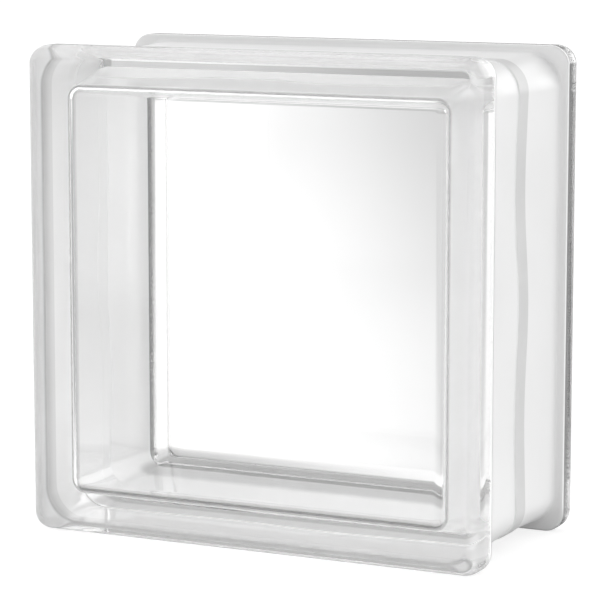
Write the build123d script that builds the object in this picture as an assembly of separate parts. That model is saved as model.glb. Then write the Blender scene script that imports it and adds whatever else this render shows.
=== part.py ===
from build123d import *
from math import atan2, degrees
import os

# Overall size of the block in millimetres: width along X, depth along Y, height along Z
width = 190.0
height = 190.0
depth = 100.0

# Lip around each face
lip_depth = 14.0
lip_corner_radius = 7.5
face_edge_radius = 5.0
lip_heel_radius = 1.0

# Mortar groove around the four sides, measured in from the sides of the lips
groove_depth_at_lip = 3.2
groove_depth_at_seam = 4.4
groove_corner_radius = 13.0
groove_root_radius = 1.7

# Bead where the two pressed halves are fused, standing out of the groove
bead_width = 10.0
bead_height = 0.7
bead_chamfer = 0.5

# Glass around the sealed cavity: thick at the faces, with walls that thin towards the seam
face_thickness = 9.0
wall_at_face = 12.3
wall_at_seam = 5.1
cavity_corner_radius = 7.0
cavity_edge_radius = 5.0

# How far the groove's floor and the cavity's walls slope between the lip and the seam
groove_rise = groove_depth_at_seam - groove_depth_at_lip
cavity_inset_at_face = groove_depth_at_lip + wall_at_face
cavity_inset_at_seam = groove_depth_at_seam + wall_at_seam
cavity_rise = cavity_inset_at_face - cavity_inset_at_seam


def outline(y, inset, corner_radius):
    """Rounded rectangle across the block at depth y, inset from the sides of the lips."""
    across = Plane(origin=(0, y, height / 2), x_dir=(1, 0, 0), z_dir=(0, 1, 0))
    return across * RectangleRounded(width - 2 * inset, height - 2 * inset, corner_radius)


def drawn_in(y, inset, corner_radius, run, rise):
    """Rounded block from depth y along Y by run, with drafted sides that draw in by rise on the way."""
    block = extrude(outline(y, inset, corner_radius), run)
    sides = [face for face in block.faces() if abs(face.normal_at().Y) < 0.5]
    start = Plane(origin=(0, y, 0), z_dir=(0, run, 0))
    return draft(sides, start, degrees(atan2(rise, abs(run))))


def lip():
    """Front lip with a rounded face edge and a small rounding at its heel, over the groove."""
    plate = extrude(outline(-depth / 2, 0, lip_corner_radius), lip_depth)
    plate = fillet(plate.edges().group_by(Axis.Y)[0], face_edge_radius)
    return fillet(plate.edges().group_by(Axis.Y)[-1], lip_heel_radius)


def groove_body():
    """Body of the front half under the groove, drawn in from the lip to the seam."""
    start = lip_depth - depth / 2
    return drawn_in(start, groove_depth_at_lip, groove_corner_radius, -start, groove_rise)


def half_cavity():
    """Hollow that the plunger leaves in the front half, drawn in from the seam to the face."""
    floor = face_thickness - depth / 2
    corner_radius_at_seam = cavity_corner_radius + cavity_rise
    hollow = drawn_in(0, cavity_inset_at_seam, corner_radius_at_seam, floor, cavity_rise)
    return fillet(hollow.edges().group_by(Axis.Y)[0], cavity_edge_radius)


def pressed_half():
    """Front half as it leaves the mould: face, lip, filleted groove and open hollow."""
    shell = lip() + groove_body()
    heel_face = shell.faces().filter_by(Plane.XZ).group_by(Axis.Y)[1][0]
    shell = fillet(heel_face.inner_wires()[0].edges(), groove_root_radius)
    return shell - half_cavity()


def seam_bead():
    """Ring of glass squeezed out along the seam, eased along both edges of its crest."""
    start = -bead_width / 2
    bed_depth = wall_at_seam / 2
    floor_corner_radius = groove_corner_radius - groove_rise
    crest = outline(start, groove_depth_at_seam - bead_height, floor_corner_radius + bead_height)
    bed = outline(start, groove_depth_at_seam + bed_depth, floor_corner_radius - bed_depth)
    ring = extrude(crest - bed, bead_width)
    ends = ring.faces().filter_by(Plane.XZ)
    return chamfer([edge for end in ends for edge in end.outer_wire().edges()], bead_chamfer)


front_half = pressed_half()
back_half = mirror(front_half, about=Plane.XZ)
glass_block = front_half + back_half + seam_bead()

os.makedirs("parts", exist_ok=True)
export_step(glass_block, "parts/glass_block.step")
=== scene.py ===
import math

import bpy
import numpy as np
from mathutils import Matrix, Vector


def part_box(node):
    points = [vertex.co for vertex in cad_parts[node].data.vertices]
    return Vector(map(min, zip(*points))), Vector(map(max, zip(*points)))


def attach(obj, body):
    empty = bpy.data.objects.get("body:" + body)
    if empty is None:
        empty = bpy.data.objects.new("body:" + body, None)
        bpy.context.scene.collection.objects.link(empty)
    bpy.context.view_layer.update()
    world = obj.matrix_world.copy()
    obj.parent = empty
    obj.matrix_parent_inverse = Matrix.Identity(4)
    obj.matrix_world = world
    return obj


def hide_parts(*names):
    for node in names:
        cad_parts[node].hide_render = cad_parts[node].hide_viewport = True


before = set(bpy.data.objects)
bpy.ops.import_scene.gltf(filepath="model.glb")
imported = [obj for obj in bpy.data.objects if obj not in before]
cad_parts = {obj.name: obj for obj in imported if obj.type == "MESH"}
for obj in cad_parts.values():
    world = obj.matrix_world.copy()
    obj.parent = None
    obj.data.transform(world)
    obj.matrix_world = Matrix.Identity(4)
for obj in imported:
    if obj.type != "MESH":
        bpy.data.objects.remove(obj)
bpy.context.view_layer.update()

MM = 0.001
LOW, HIGH = (Vector(corner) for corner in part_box("glass_block"))
WIDTH, DEPTH, HEIGHT = HIGH - LOW
MIDDLE_Z = (LOW.z + HIGH.z) / 2

# Section of the block: lips, mortar groove, fused bead and the glass around the cavity
LIP_DEPTH = 14 * MM
LIP_CORNER_RADIUS = 7.5 * MM
FACE_EDGE_INSET = 2.27 * MM
FACE_EDGE_DEPTH = 4.87 * MM
FACE_EDGE_RADIUS = 4.2 * MM
LIP_SIDE_RADIUS = 11.8 * MM
LIP_HEEL_RADIUS = 1 * MM
GROOVE_AT_LIP = 3.2 * MM
GROOVE_AT_SEAM = 4.4 * MM
GROOVE_CORNER_RADIUS = 13 * MM
GROOVE_ROOT_RADIUS = 1.7 * MM
BEAD_WIDTH = 10 * MM
BEAD_HEIGHT = 0.7 * MM
BEAD_SLOPE = 0.5 * MM
BEAD_ROUND = 0.4 * MM
FACE_THICKNESS = 9 * MM
WALL_AT_FACE = 12.3 * MM
WALL_AT_SEAM = 5.1 * MM
CAVITY_CORNER_RADIUS = 5.2 * MM
CAVITY_EDGE_RADIUS = 5 * MM
CAVITY_SEAM_ROUND = 1 * MM
HEEL_Y = LIP_DEPTH - DEPTH / 2

# The seam wanders along the groove: size, number and phase of its waves around the block
SEAM_WAVES = ((1.8 * MM, 7, 0.0), (0.9 * MM, 3, math.pi / 2))

# How finely the meshes are divided
CORNER_STEPS = 16
SIDE_STEPS = 24
ARC_STEP = math.radians(7)

# The coat's skin over the groove: its place, its greys, how far from the seam in mm it is thin over the bead,
# and where painted shade greys the heels
COAT_GAP = 0.04 * MM
COAT_THICKNESS = 0.12 * MM
COAT_REACH = -HEEL_Y + 0.4 * LIP_HEEL_RADIUS
COAT_OUTSIDE = 0.82
BEAD_GREY_AND_HEEL_SHADE = 0.6
BEAD_EDGE_MM = (4.5, 5.2)
HEEL_EDGE_MM = (34.5, 35.8)
HEEL_SHADE = 0.7
COAT_GRAIN = 0.01 * MM

# The coat that grips the glass: how much of it does, and its specks beside the groove, denser on the back lip
COAT_GRIP = 0.95
COAT_END = 36.4 * MM
SPECKS_THIN = 39.0 * MM
SPECKS_END = 46.0 * MM
FRONT_SPECKS = 0.42
BACK_SPECKS = 0.6
SPECK_EDGE = 0.03
GRIP_EDGE = 0.2 * MM
SEAM_EDGE = 1 * MM

# The coat's grey through the glass: whiter than outside as painted light for light through the thin coat,
# painted shade beside the front lip and beneath beside the back lip, and dark specks on the back lip as
# painted shade
COAT_LIT_WHITE = 0.995
PAINTED_SHADE_GREY = 0.62
FRONT_SHADE_END = -25.3 * MM
FRONT_SHADE_FADE = 0.4
FRONT_SHADE_EDGE = 0.3 * MM
HEEL_EDGE = 0.5 * MM
BENEATH_SHADE_Y = (20 * MM, 27 * MM)
BENEATH_SHADE_Z = (6 * MM, 12 * MM)
DARK_SPECKS_FROM = (36.6 * MM, 37.6 * MM)
SPECK_SHADE_GREY = 0.19

# The glass: how it refracts and absorbs, and how deep the waves left by the mould are
GLASS_IOR = 1.52
GLASS_GREY = 0.5
GLASS_DENSITY = 3.0
GLASS_WAVES = 0.02 * MM

# Noises as features per metre and detail, and what a range of each becomes
SPECK_NOISE = (1800, 1)
MOULD_NOISE = (22, 2)
POLISH_NOISE = (35, 3)
POLISH_ROUGHNESS = (0.45, 0.8, 0.0, 0.03)
RAGGED_NOISE = (120, 3)
RAGGED_MM = 0.5
BEAD_NOISE = (60, 3)
BEAD_WEAR = (0.25, 0.75, 0.85, 1.0)
MOTTLE_NOISE = (18, 4)
MOTTLE_WEAR = (0.35, 0.75, 0.0, 0.08)
GLOSS_NOISE = (80, 3)
COAT_ROUGHNESS = (0.3, 0.7, 0.3, 0.42)
GRAIN_NOISE = (700, 2)

# Soft lights: azimuth from +Y towards +X, elevation, inner and outer angle, strength. A dark card is below 0
SOFTBOXES = (
    (32, 20, 8, 38, 2.3),
    (150, 13, 6, 32, 1.15),
    (237, 33, 12, 51, 1.15),
    (301, 31, 10, 39, 0.6),
    (0, 58, 6, 34, 0.3),
    (98, 22, 12, 42, -0.55),
)
AMBIENT = 0.58

# The floor's own grey, and how brightly its parts glow as painted light and painted shadow: behind the block,
# in front, under it and for the camera
FLOOR_SIZE = 20
FLOOR_GREY = 0.35
FLOOR_BEHIND_LEFT = 0.78
FLOOR_BEHIND_MIDDLE = 0.615
FLOOR_BEHIND_RIGHT = 0.28
FLOOR_FAR_BEHIND = 0.5
FLOOR_SHADOW_BESIDE_BACK = 0.05
FLOOR_IN_FRONT = 0.9
FLOOR_FRONT_LEFT = 0.1
FLOOR_FAR_FRONT = 0.6
FLOOR_SHADOW_UNDER_GROOVE = 0.3
FLOOR_SHADOW_UNDER_LIPS = 0.02
FLOOR_LIFT = 0.75

# Where those parts shade into each other, in metres along X or Y, or aside and along as the camera looks
MIDDLE_ASIDE = (-0.08, 0.0)
MIDDLE_ALONG = (0.6, 1.8)
RIGHT_ASIDE = (-0.03, 0.17)
FAR_BEHIND_Y = (1.85, 2.2)
FRONT_LEFT_X = (-0.4, -0.1)
FAR_FRONT_Y = (-0.7, -0.45)
GROOVE_EDGE_Y = (0.034, 0.037)
BEHIND_ALONG = (0.0, 0.12)
BEHIND_Y = (-0.15, 0.0)
SHADE_BEHIND = 0.05
SHADE_IN_FRONT = 0.008

# The camera, fitted to the photograph
CAMERA_AZIMUTH = math.radians(26.124)
CAMERA_ELEVATION = math.radians(8.593)
CAMERA_DISTANCE = 1115.3 * MM
CAMERA_TARGET = Vector((-1.392, 0, 90.551)) * MM
CAMERA_SENSOR = 36
CAMERA_LENS = CAMERA_SENSOR * 2862.6 / 600


def arc_stations(before, corner, after):
    """Points of the arc at one corner of a profile, as (y, inset, corner radius, direction of travel)."""
    here = np.array(corner[:2])
    fillet_radius, corner_radius = corner[2:]
    came = here - before[:2]
    came /= np.linalg.norm(came)
    goes = np.array(after[:2]) - here
    goes /= np.linalg.norm(goes)
    start_angle = math.atan2(came[1], came[0])
    turn = math.atan2(came[0] * goes[1] - came[1] * goes[0], float(came @ goes))
    side = math.copysign(1, turn)
    start = here - came * fillet_radius * math.tan(abs(turn) / 2)
    centre = start + side * fillet_radius * np.array([-came[1], came[0]])
    stations = []
    for t in np.linspace(0, 1, max(3, math.ceil(abs(turn) / ARC_STEP) + 1)):
        angle = start_angle + turn * t
        along = np.array([math.cos(angle), math.sin(angle)])
        y, inset = centre - side * fillet_radius * np.array([-along[1], along[0]])
        stations.append((y, inset, corner_radius + corner[1] - inset, along))
    return stations


def profile_stations(corners):
    """Stations of a profile that starts and ends in the middle of the two faces."""
    first = (corners[0][0], HEIGHT / 2)
    last = (corners[-1][0], HEIGHT / 2)
    path = [first, *corners, last]
    stations = []
    for before, corner, after in zip(path, path[1:], path[2:]):
        stations += arc_stations(before, corner, after)
    return stations


def mirrored(half):
    """A profile's front half followed by the same corners towards the back."""
    return half + [(-y, *rest) for y, *rest in reversed(half)]


def outer_profile():
    """Corners of the outside, front half: y, inset from the lip's side, rounding, radius across the block."""
    foot = -BEAD_WIDTH / 2
    slope = (GROOVE_AT_SEAM - GROOVE_AT_LIP) / HEEL_Y
    foot_inset = GROOVE_AT_SEAM + slope * -foot
    crest_inset = GROOVE_AT_SEAM - BEAD_HEIGHT
    floor_radius = GROOVE_CORNER_RADIUS + GROOVE_AT_LIP - foot_inset
    return mirrored([
        (-DEPTH / 2, FACE_EDGE_INSET, FACE_EDGE_RADIUS, LIP_CORNER_RADIUS - FACE_EDGE_INSET),
        (FACE_EDGE_DEPTH - DEPTH / 2, 0.0, LIP_SIDE_RADIUS, LIP_CORNER_RADIUS),
        (HEEL_Y, 0.0, LIP_HEEL_RADIUS, LIP_CORNER_RADIUS),
        (HEEL_Y, GROOVE_AT_LIP, GROOVE_ROOT_RADIUS, GROOVE_CORNER_RADIUS),
        (foot, foot_inset, BEAD_ROUND, floor_radius),
        (foot + BEAD_SLOPE, crest_inset, BEAD_ROUND, floor_radius + foot_inset - crest_inset),
    ])


def cavity_profile():
    """Corners of the cavity, with walls that open towards the seam."""
    floor = FACE_THICKNESS - DEPTH / 2
    at_face = GROOVE_AT_LIP + WALL_AT_FACE
    at_seam = GROOVE_AT_SEAM + WALL_AT_SEAM
    return [
        (floor, at_face, CAVITY_EDGE_RADIUS, CAVITY_CORNER_RADIUS),
        (0.0, at_seam, CAVITY_SEAM_ROUND, CAVITY_CORNER_RADIUS + at_face - at_seam),
        (-floor, at_face, CAVITY_EDGE_RADIUS, CAVITY_CORNER_RADIUS),
    ]


def ring(inset, radius):
    """Rounded rectangle as X, Z and outward X, Z of each point, from the middle of one corner around."""
    quarter = np.linspace(0, math.pi / 2, CORNER_STEPS + 1)
    points = []
    for turn in range(4):
        angles = quarter + turn * math.pi / 2
        out = np.stack([np.cos(angles), np.sin(angles)], 1)
        sign = np.sign(out[CORNER_STEPS // 2])
        centre = sign * (np.array([WIDTH, HEIGHT]) / 2 - inset - radius)
        points.append(np.hstack([centre + radius * out, out]))
    loop = []
    for corner, following in zip(points, points[1:] + points[:1]):
        loop.append(corner)
        share = np.arange(1, SIDE_STEPS)[:, None] / SIDE_STEPS
        loop.append(corner[-1] * (1 - share) + following[0] * share)
    loop = np.concatenate(loop)
    return np.roll(loop, -(CORNER_STEPS // 2), axis=0)


def shell(stations, into_cavity):
    """Points, normals and quads of the closed surface that a profile makes around the block."""
    rings, normals = [], []
    for y, inset, radius, along in stations:
        loop = ring(inset, radius)
        level = np.full(len(loop), y)
        facing = np.full(len(loop), along[1])
        rings.append(np.stack([loop[:, 0], level, loop[:, 1] + MIDDLE_Z], 1))
        normals.append(np.stack([loop[:, 2] * along[0], facing, loop[:, 3] * along[0]], 1))
    count = len(rings[0])
    quads = []
    for row in range(len(rings) - 1):
        for column in range(count):
            following = (column + 1) % count
            quads.append((row * count + column, (row + 1) * count + column,
                          (row + 1) * count + following, row * count + following))
    points = np.concatenate(rings)
    normals = np.concatenate(normals)
    for row, facing in ((0, -1), (len(rings) - 1, 1)):
        points, normals, quads = fill_face(points, normals, quads, row * count, count, facing)
    if into_cavity:
        normals = -normals
        quads = [quad[::-1] for quad in quads]
    return points, normals, quads


def fill_face(points, normals, quads, first, count, facing):
    """Closes one end of a shell with a grid of quads that takes its edge from the last ring."""
    steps = count // 4
    edge = [first + i for i in range(count)]
    top = edge[0:steps + 1]
    left = edge[steps:2 * steps + 1]
    bottom = edge[2 * steps:3 * steps + 1]
    right = edge[3 * steps:] + edge[:1]
    grid = np.zeros((steps + 1, steps + 1), int)
    grid[0] = top
    grid[:, -1] = left
    grid[-1] = bottom[::-1]
    grid[:, 0] = right[::-1]
    u = np.linspace(0, 1, steps + 1)
    new_points = []
    for i in range(1, steps):
        for j in range(1, steps):
            a, b = u[i], u[j]
            along_rows = points[grid[i, 0]] * (1 - b) + points[grid[i, -1]] * b
            along_columns = points[grid[0, j]] * (1 - a) + points[grid[-1, j]] * a
            corners = ((points[grid[0, 0]] * (1 - b) + points[grid[0, -1]] * b) * (1 - a)
                       + (points[grid[-1, 0]] * (1 - b) + points[grid[-1, -1]] * b) * a)
            grid[i, j] = len(points) + len(new_points)
            new_points.append(along_rows + along_columns - corners)
    points = np.concatenate([points, new_points])
    normals = np.concatenate([normals, np.tile((0.0, facing, 0.0), (len(new_points), 1))])
    for i in range(steps):
        for j in range(steps):
            quad = (grid[i, j], grid[i, j + 1], grid[i + 1, j + 1], grid[i + 1, j])
            quads.append(quad if facing < 0 else quad[::-1])
    return points, normals, quads


def seam_shift(points):
    """How far the seam moves each point along Y: most at the bead, none at the lips."""
    around = np.arctan2(points[:, 2] - MIDDLE_Z, points[:, 0])
    wander = sum(size * np.cos(waves * around + phase) for size, waves, phase in SEAM_WAVES)
    reach = DEPTH / 2 - LIP_DEPTH - GROOVE_ROOT_RADIUS
    nearness = 1 - np.clip((np.abs(points[:, 1]) - BEAD_WIDTH / 2) / (reach - BEAD_WIDTH / 2), 0, 1)
    still = np.zeros(len(points))
    return np.stack([still, wander * nearness, still], 1)


def add_mesh(name, points, normals, faces, values):
    """A smooth object with exact normals and some values stored on its points."""
    mesh = bpy.data.meshes.new(name)
    mesh.from_pydata(points.tolist(), [], [tuple(int(i) for i in face) for face in faces])
    mesh.polygons.foreach_set("use_smooth", [True] * len(mesh.polygons))
    mesh.normals_split_custom_set_from_vertices(normals.tolist())
    for value_name, value in values.items():
        mesh.attributes.new(value_name, "FLOAT", "POINT").data.foreach_set("value", value)
    made = bpy.data.objects.new(name, mesh)
    bpy.context.scene.collection.objects.link(made)
    return made


def glass_block(outside):
    """The block as one closed mesh: its outside and the sealed cavity."""
    points, normals, quads = outside
    hollow = shell(profile_stations(cavity_profile()), into_cavity=True)
    hollow_points, hollow_normals, hollow_quads = hollow
    quads = quads + [tuple(i + len(points) for i in quad) for quad in hollow_quads]
    is_outside = np.concatenate([np.ones(len(points)), np.zeros(len(hollow_points))])
    all_points = np.concatenate([points + seam_shift(points), hollow_points])
    all_normals = np.concatenate([normals, hollow_normals])
    return add_mesh("clear_glass_block", all_points, all_normals, quads, {"outside": is_outside})


def coating(outside):
    """The white coat as a thin closed skin over the groove, from heel to heel."""
    points, normals, quads = outside
    coated = np.abs(points[:, 1]) <= COAT_REACH
    faces = [quad for quad in quads if all(coated[i] for i in quad)]
    edges = set()
    for face in faces:
        edges.update(zip(face, face[1:] + face[:1]))
    rims = sorted((a, b) for a, b in edges if (b, a) not in edges)
    used = sorted({i for face in faces for i in face})
    place = {old: new for new, old in enumerate(used)}
    count = len(used)
    base = points[used]
    out = normals[used]
    inner = base + seam_shift(base) + out * COAT_GAP
    outer = inner + out * COAT_THICKNESS
    all_faces = [tuple(place[i] + count for i in face) for face in faces]
    all_faces += [tuple(place[i] for i in face[::-1]) for face in faces]
    all_faces += [(place[a], place[b], place[b] + count, place[a] + count) for a, b in rims]
    all_points = np.concatenate([inner, outer])
    all_normals = np.concatenate([-out, out])
    from_seam = np.abs(np.concatenate([base[:, 1], base[:, 1]])) / MM
    return add_mesh("white_coating", all_points, all_normals, all_faces, {"from_seam": from_seam})


def tree_of(material):
    """A node material's tree and its shader."""
    material.use_nodes = True
    tree = material.node_tree
    return tree, tree.nodes["Principled BSDF"]


def node(tree, kind, **settings):
    """A new node with its settings."""
    made = tree.nodes.new(kind)
    for name, value in settings.items():
        setattr(made, name, value)
    return made


def put(tree, socket, value):
    """Links another node's socket to a socket, or sets its number."""
    if isinstance(value, bpy.types.NodeSocket):
        tree.links.new(value, socket)
    else:
        socket.default_value = value


def math_node(tree, operation, *values):
    """The result of one sum on sockets or numbers."""
    made = node(tree, "ShaderNodeMath", operation=operation)
    for socket, value in zip(made.inputs, values):
        put(tree, socket, value)
    return made.outputs[0]


def product(tree, first, *others):
    """Several sockets or numbers multiplied."""
    for other in others:
        first = math_node(tree, "MULTIPLY", first, other)
    return first


def ranged(tree, value, low, high, start=0.0, stop=1.0):
    """A value taken smoothly from one range to another."""
    made = node(tree, "ShaderNodeMapRange", interpolation_type="SMOOTHSTEP")
    names = ("Value", "From Min", "From Max", "To Min", "To Max")
    for name, number in zip(names, (value, low, high, start, stop)):
        put(tree, made.inputs[name], number)
    return made.outputs["Result"]


def place_of(tree):
    """The object's own coordinates, in metres."""
    place = node(tree, "ShaderNodeSeparateXYZ")
    tree.links.new(node(tree, "ShaderNodeTexCoord").outputs["Object"], place.inputs[0])
    return place.outputs["X"], place.outputs["Y"], place.outputs["Z"]


def noise(tree, scale, detail):
    """Noise through the object's own coordinates, in features per metre."""
    made = node(tree, "ShaderNodeTexNoise")
    tree.links.new(node(tree, "ShaderNodeTexCoord").outputs["Object"], made.inputs["Vector"])
    made.inputs["Scale"].default_value = scale
    made.inputs["Detail"].default_value = detail
    return made.outputs["Fac"]


def stored(tree, name):
    """A value stored on the mesh."""
    return node(tree, "ShaderNodeAttribute", attribute_name=name).outputs["Fac"]


def blended(tree, share, first, second):
    """A number between two others."""
    made = node(tree, "ShaderNodeMix", data_type="FLOAT")
    for name, value in (("Factor", share), ("A", first), ("B", second)):
        put(tree, made.inputs[name], value)
    return made.outputs["Result"]


def mixed(tree, share, first, second):
    """A grey between two others, each a number or another node's socket."""
    made = node(tree, "ShaderNodeMix", data_type="RGBA")
    tree.links.new(share, made.inputs["Factor"])
    colours = [socket for socket in made.inputs if socket.type == "RGBA"]
    for socket, grey in zip(colours, (first, second)):
        put(tree, socket, grey if isinstance(grey, bpy.types.NodeSocket) else (grey, grey, grey, 1))
    return next(socket for socket in made.outputs if socket.type == "RGBA")


def bumped(tree, shader, height, depth):
    """Gives a shader a bump of a real depth in metres."""
    bump = node(tree, "ShaderNodeBump")
    bump.inputs["Distance"].default_value = depth
    tree.links.new(height, bump.inputs["Height"])
    tree.links.new(bump.outputs["Normal"], shader.inputs["Normal"])


def coat_cover(tree, y):
    """How much of the glass the coat covers: all but the grip's rest in the groove, specks beside it."""
    across = math_node(tree, "ABSOLUTE", y)
    beside = ranged(tree, y, -SEAM_EDGE, SEAM_EDGE, FRONT_SPECKS, BACK_SPECKS)
    edge = ranged(tree, across, COAT_END, SPECKS_THIN, 1.0, beside)
    cover = product(tree, edge, ranged(tree, across, SPECKS_THIN, SPECKS_END, 1.0, 0.0))
    specks = math_node(tree, "SUBTRACT", cover, noise(tree, *SPECK_NOISE))
    coat = ranged(tree, specks, -SPECK_EDGE, SPECK_EDGE)
    grip = ranged(tree, across, COAT_END, COAT_END + GRIP_EDGE, COAT_GRIP, 1.0)
    return product(tree, coat, grip, stored(tree, "outside"))


def coat_grey_with_shade(tree, y, z):
    """The coat's grey through the glass: white, with painted shade beside the front lip and beneath beside
    the back lip, and dark specks on the back lip as painted shade.
    """
    # Painted shade: the coat seen through the glass goes grey from the front lip's heel to 25.3 mm before the
    # seam
    fading = ranged(tree, y, HEEL_Y, FRONT_SHADE_END, 1.0, FRONT_SHADE_FADE)
    past_heel = ranged(tree, y, HEEL_Y, HEEL_Y + HEEL_EDGE)
    edge = ranged(tree, y, FRONT_SHADE_END - FRONT_SHADE_EDGE, FRONT_SHADE_END + FRONT_SHADE_EDGE, 1.0, 0.0)
    in_front = product(tree, fading, past_heel, edge)
    # Painted shade beneath: greyer low down on the back half, towards the back lip
    beneath = product(tree, ranged(tree, y, *BENEATH_SHADE_Y), ranged(tree, z, *BENEATH_SHADE_Z, 1.0, 0.0))
    painted_shade = math_node(tree, "MAXIMUM", in_front, beneath)
    # Painted light: the coat is whiter through the glass than outside, for light that comes through the thin
    # coat
    coat = mixed(tree, painted_shade, COAT_LIT_WHITE, PAINTED_SHADE_GREY)
    # Painted shade: the specks on the back lip's side are dark
    return mixed(tree, ranged(tree, y, *DARK_SPECKS_FROM), coat, SPECK_SHADE_GREY)


def glass_material():
    """Clear pressed glass, with the coat's specks at the lips and the coat's grip in the groove."""
    material = bpy.data.materials.new("clear_pressed_glass")
    tree, shader = tree_of(material)
    _, y, z = place_of(tree)
    painted = coat_cover(tree, y)
    # Where the coat covers the glass, its colour carries the painted light and painted shade above
    tree.links.new(mixed(tree, painted, 1.0, coat_grey_with_shade(tree, y, z)), shader.inputs["Base Color"])
    tree.links.new(math_node(tree, "SUBTRACT", 1.0, painted), shader.inputs["Transmission Weight"])
    uneven_polish = ranged(tree, noise(tree, *POLISH_NOISE), *POLISH_ROUGHNESS)
    tree.links.new(uneven_polish, shader.inputs["Roughness"])
    shader.inputs["IOR"].default_value = GLASS_IOR
    bumped(tree, shader, noise(tree, *MOULD_NOISE), GLASS_WAVES)
    absorption = node(tree, "ShaderNodeVolumeAbsorption")
    absorption.inputs["Color"].default_value = (GLASS_GREY, GLASS_GREY, GLASS_GREY, 1)
    absorption.inputs["Density"].default_value = GLASS_DENSITY
    tree.links.new(absorption.outputs["Volume"], tree.nodes["Material Output"].inputs["Volume"])
    return material


def coat_material():
    """White coating sprayed on the groove, greyer where it is thin over the seam's bead, with painted shade
    on the heels.
    """
    material = bpy.data.materials.new("white_sprayed_coating")
    tree, shader = tree_of(material)
    from_seam = stored(tree, "from_seam")
    ragged = math_node(tree, "ADD", from_seam, product(tree, noise(tree, *RAGGED_NOISE), RAGGED_MM))
    on_bead = ranged(tree, ragged, *BEAD_EDGE_MM, 1.0, 0.0)
    thin = product(tree, on_bead, ranged(tree, noise(tree, *BEAD_NOISE), *BEAD_WEAR))
    # Painted shade: the coat goes grey towards the heels, where the groove meets the lips
    on_heel = ranged(tree, from_seam, *HEEL_EDGE_MM, 0.0, HEEL_SHADE)
    mottled = ranged(tree, noise(tree, *MOTTLE_NOISE), *MOTTLE_WEAR)
    worn_and_shaded = math_node(tree, "ADD", math_node(tree, "MAXIMUM", thin, on_heel), mottled)
    tree.links.new(mixed(tree, worn_and_shaded, COAT_OUTSIDE, BEAD_GREY_AND_HEEL_SHADE), shader.inputs["Base Color"])
    tree.links.new(ranged(tree, noise(tree, *GLOSS_NOISE), *COAT_ROUGHNESS), shader.inputs["Roughness"])
    bumped(tree, shader, noise(tree, *GRAIN_NOISE), COAT_GRAIN)
    return material


def toward(azimuth, elevation):
    """Unit vector at an azimuth from +Y towards +X and an elevation, in degrees."""
    azimuth, elevation = math.radians(azimuth), math.radians(elevation)
    return Vector((math.sin(azimuth) * math.cos(elevation), math.cos(azimuth) * math.cos(elevation),
                   math.sin(elevation)))


def lobe(tree, direction, aim, inner, outer):
    """1 within the inner angle of an aim, falling to 0 at the outer angle."""
    cosine = node(tree, "ShaderNodeVectorMath", operation="DOT_PRODUCT")
    tree.links.new(direction, cosine.inputs[0])
    cosine.inputs[1].default_value = aim
    low, high = math.cos(math.radians(outer)), math.cos(math.radians(inner))
    return ranged(tree, cosine.outputs["Value"], low, high)


def studio_world():
    """White surroundings for the camera, and a studio of soft lights for everything else."""
    world = bpy.data.worlds.new("studio")
    world.use_nodes = True
    tree = world.node_tree
    direction = node(tree, "ShaderNodeTexCoord").outputs["Generated"]
    level = AMBIENT
    for azimuth, elevation, inner, outer, strength in SOFTBOXES:
        part = lobe(tree, direction, toward(azimuth, elevation), inner, outer)
        level = math_node(tree, "ADD", level, product(tree, part, strength))
    seen = node(tree, "ShaderNodeLightPath").outputs["Is Camera Ray"]
    strength = blended(tree, seen, math_node(tree, "MAXIMUM", level, 0.0), 1.0)
    background = tree.nodes["Background"]
    background.inputs["Color"].default_value = (1, 1, 1, 1)
    tree.links.new(strength, background.inputs["Strength"])
    bpy.context.scene.world = world


def outside_of(tree, coordinate, half):
    """How far a coordinate is past half the block's size."""
    past = math_node(tree, "SUBTRACT", math_node(tree, "ABSOLUTE", coordinate), half)
    return math_node(tree, "MAXIMUM", past, 0.0)


def distance_from_block(tree, x, y):
    """How far a point of the floor is from the block's footprint."""
    beside = math_node(tree, "POWER", outside_of(tree, x, WIDTH / 2), 2.0)
    before = math_node(tree, "POWER", outside_of(tree, y, DEPTH / 2), 2.0)
    return math_node(tree, "SQRT", math_node(tree, "ADD", beside, before))


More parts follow.
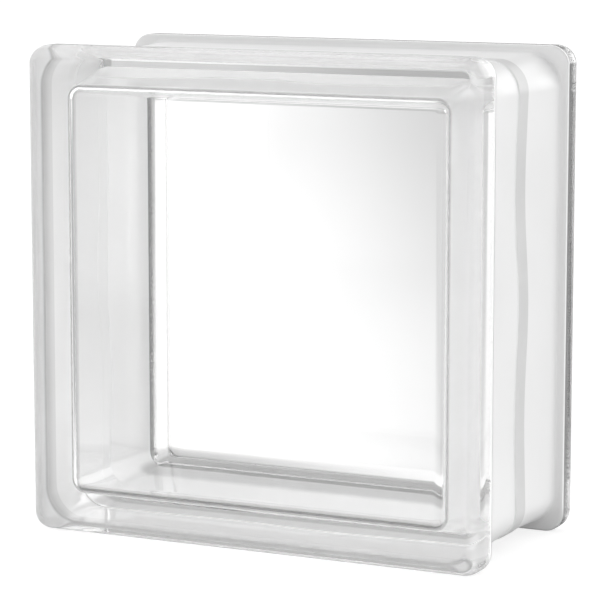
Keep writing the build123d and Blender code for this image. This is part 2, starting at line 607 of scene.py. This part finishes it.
def floor_level(tree, x, y):
    """How brightly the floor glows for the block, by its place as seen from the camera: painted light in
    pools, painted shadow beside and under the block.
    """
    cosine, sine = math.cos(CAMERA_AZIMUTH), math.sin(CAMERA_AZIMUTH)
    aside = math_node(tree, "ADD", product(tree, x, cosine), product(tree, y, sine))
    along = math_node(tree, "SUBTRACT", product(tree, y, cosine), product(tree, x, sine))
    away = distance_from_block(tree, x, y)
    far_middle = product(tree, ranged(tree, aside, *MIDDLE_ASIDE), ranged(tree, along, *MIDDLE_ALONG))
    behind = blended(tree, far_middle, FLOOR_BEHIND_LEFT, FLOOR_BEHIND_MIDDLE)
    behind = blended(tree, ranged(tree, aside, *RIGHT_ASIDE), behind, FLOOR_BEHIND_RIGHT)
    # Painted shadow: the glow behind the block falls away next to its back
    shade = ranged(tree, away, 0.0, SHADE_BEHIND, FLOOR_SHADOW_BESIDE_BACK, 1.0)
    behind = product(tree, behind, shade, ranged(tree, y, *FAR_BEHIND_Y, 1.0, FLOOR_FAR_BEHIND))
    near = ranged(tree, x, *FRONT_LEFT_X, FLOOR_FRONT_LEFT, FLOOR_IN_FRONT)
    far = ranged(tree, y, *FAR_FRONT_Y, FLOOR_FAR_FRONT, 0.0)
    off_seam = math_node(tree, "ABSOLUTE", y)
    # Painted shadow under the block: dim under the groove, dark under the lips
    under = ranged(tree, off_seam, *GROOVE_EDGE_Y, FLOOR_SHADOW_UNDER_GROOVE, FLOOR_SHADOW_UNDER_LIPS)
    lit = math_node(tree, "MAXIMUM", under, ranged(tree, away, 0.0, SHADE_IN_FRONT))
    in_front = product(tree, math_node(tree, "MAXIMUM", near, far), lit)
    is_behind = product(tree, ranged(tree, along, *BEHIND_ALONG), ranged(tree, y, *BEHIND_Y))
    return blended(tree, is_behind, in_front, behind)


def studio_floor():
    """Pale floor that keeps the block's shadow, and for all but camera rays glows with painted light,
    brightest behind to the left and in front.
    """
    bpy.ops.mesh.primitive_plane_add(size=FLOOR_SIZE)
    floor = bpy.context.object
    floor.name = "studio_floor"
    material = bpy.data.materials.new("studio_floor")
    tree, shader = tree_of(material)
    shader.inputs["Base Color"].default_value = (FLOOR_GREY, FLOOR_GREY, FLOOR_GREY, 1)
    shader.inputs["Specular IOR Level"].default_value = 0.0
    shader.inputs["Emission Color"].default_value = (1, 1, 1, 1)
    x, y, _ = place_of(tree)
    seen = node(tree, "ShaderNodeLightPath").outputs["Is Camera Ray"]
    level = blended(tree, seen, floor_level(tree, x, y), FLOOR_LIFT)
    tree.links.new(level, shader.inputs["Emission Strength"])
    floor.data.materials.append(material)


def camera():
    """Camera at the photograph's viewing angle."""
    level = math.cos(CAMERA_ELEVATION)
    back = Vector((math.sin(CAMERA_AZIMUTH) * level, -math.cos(CAMERA_AZIMUTH) * level,
                   math.sin(CAMERA_ELEVATION)))
    data = bpy.data.cameras.new("camera")
    data.sensor_width = CAMERA_SENSOR
    data.lens = CAMERA_LENS
    view = bpy.data.objects.new("camera", data)
    view.location = CAMERA_TARGET + back * CAMERA_DISTANCE
    view.rotation_euler = back.to_track_quat("Z", "Y").to_euler()
    bpy.context.scene.collection.objects.link(view)
    bpy.context.scene.camera = view


outside = shell(profile_stations(outer_profile()), into_cavity=False)
block = glass_block(outside)
block.data.materials.append(glass_material())
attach(block, "root")
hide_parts("glass_block")
coat = coating(outside)
coat.data.materials.append(coat_material())
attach(coat, "root")
studio_world()
studio_floor()
camera()

# Light passes through the block many times before it leaves, and caustics stay sharp
scene = bpy.context.scene
scene.view_settings.view_transform = "Standard"
scene.cycles.blur_glossy = 0
scene.cycles.max_bounces = 64
scene.cycles.diffuse_bounces = 32
scene.cycles.glossy_bounces = 32
scene.cycles.transmission_bounces = 32
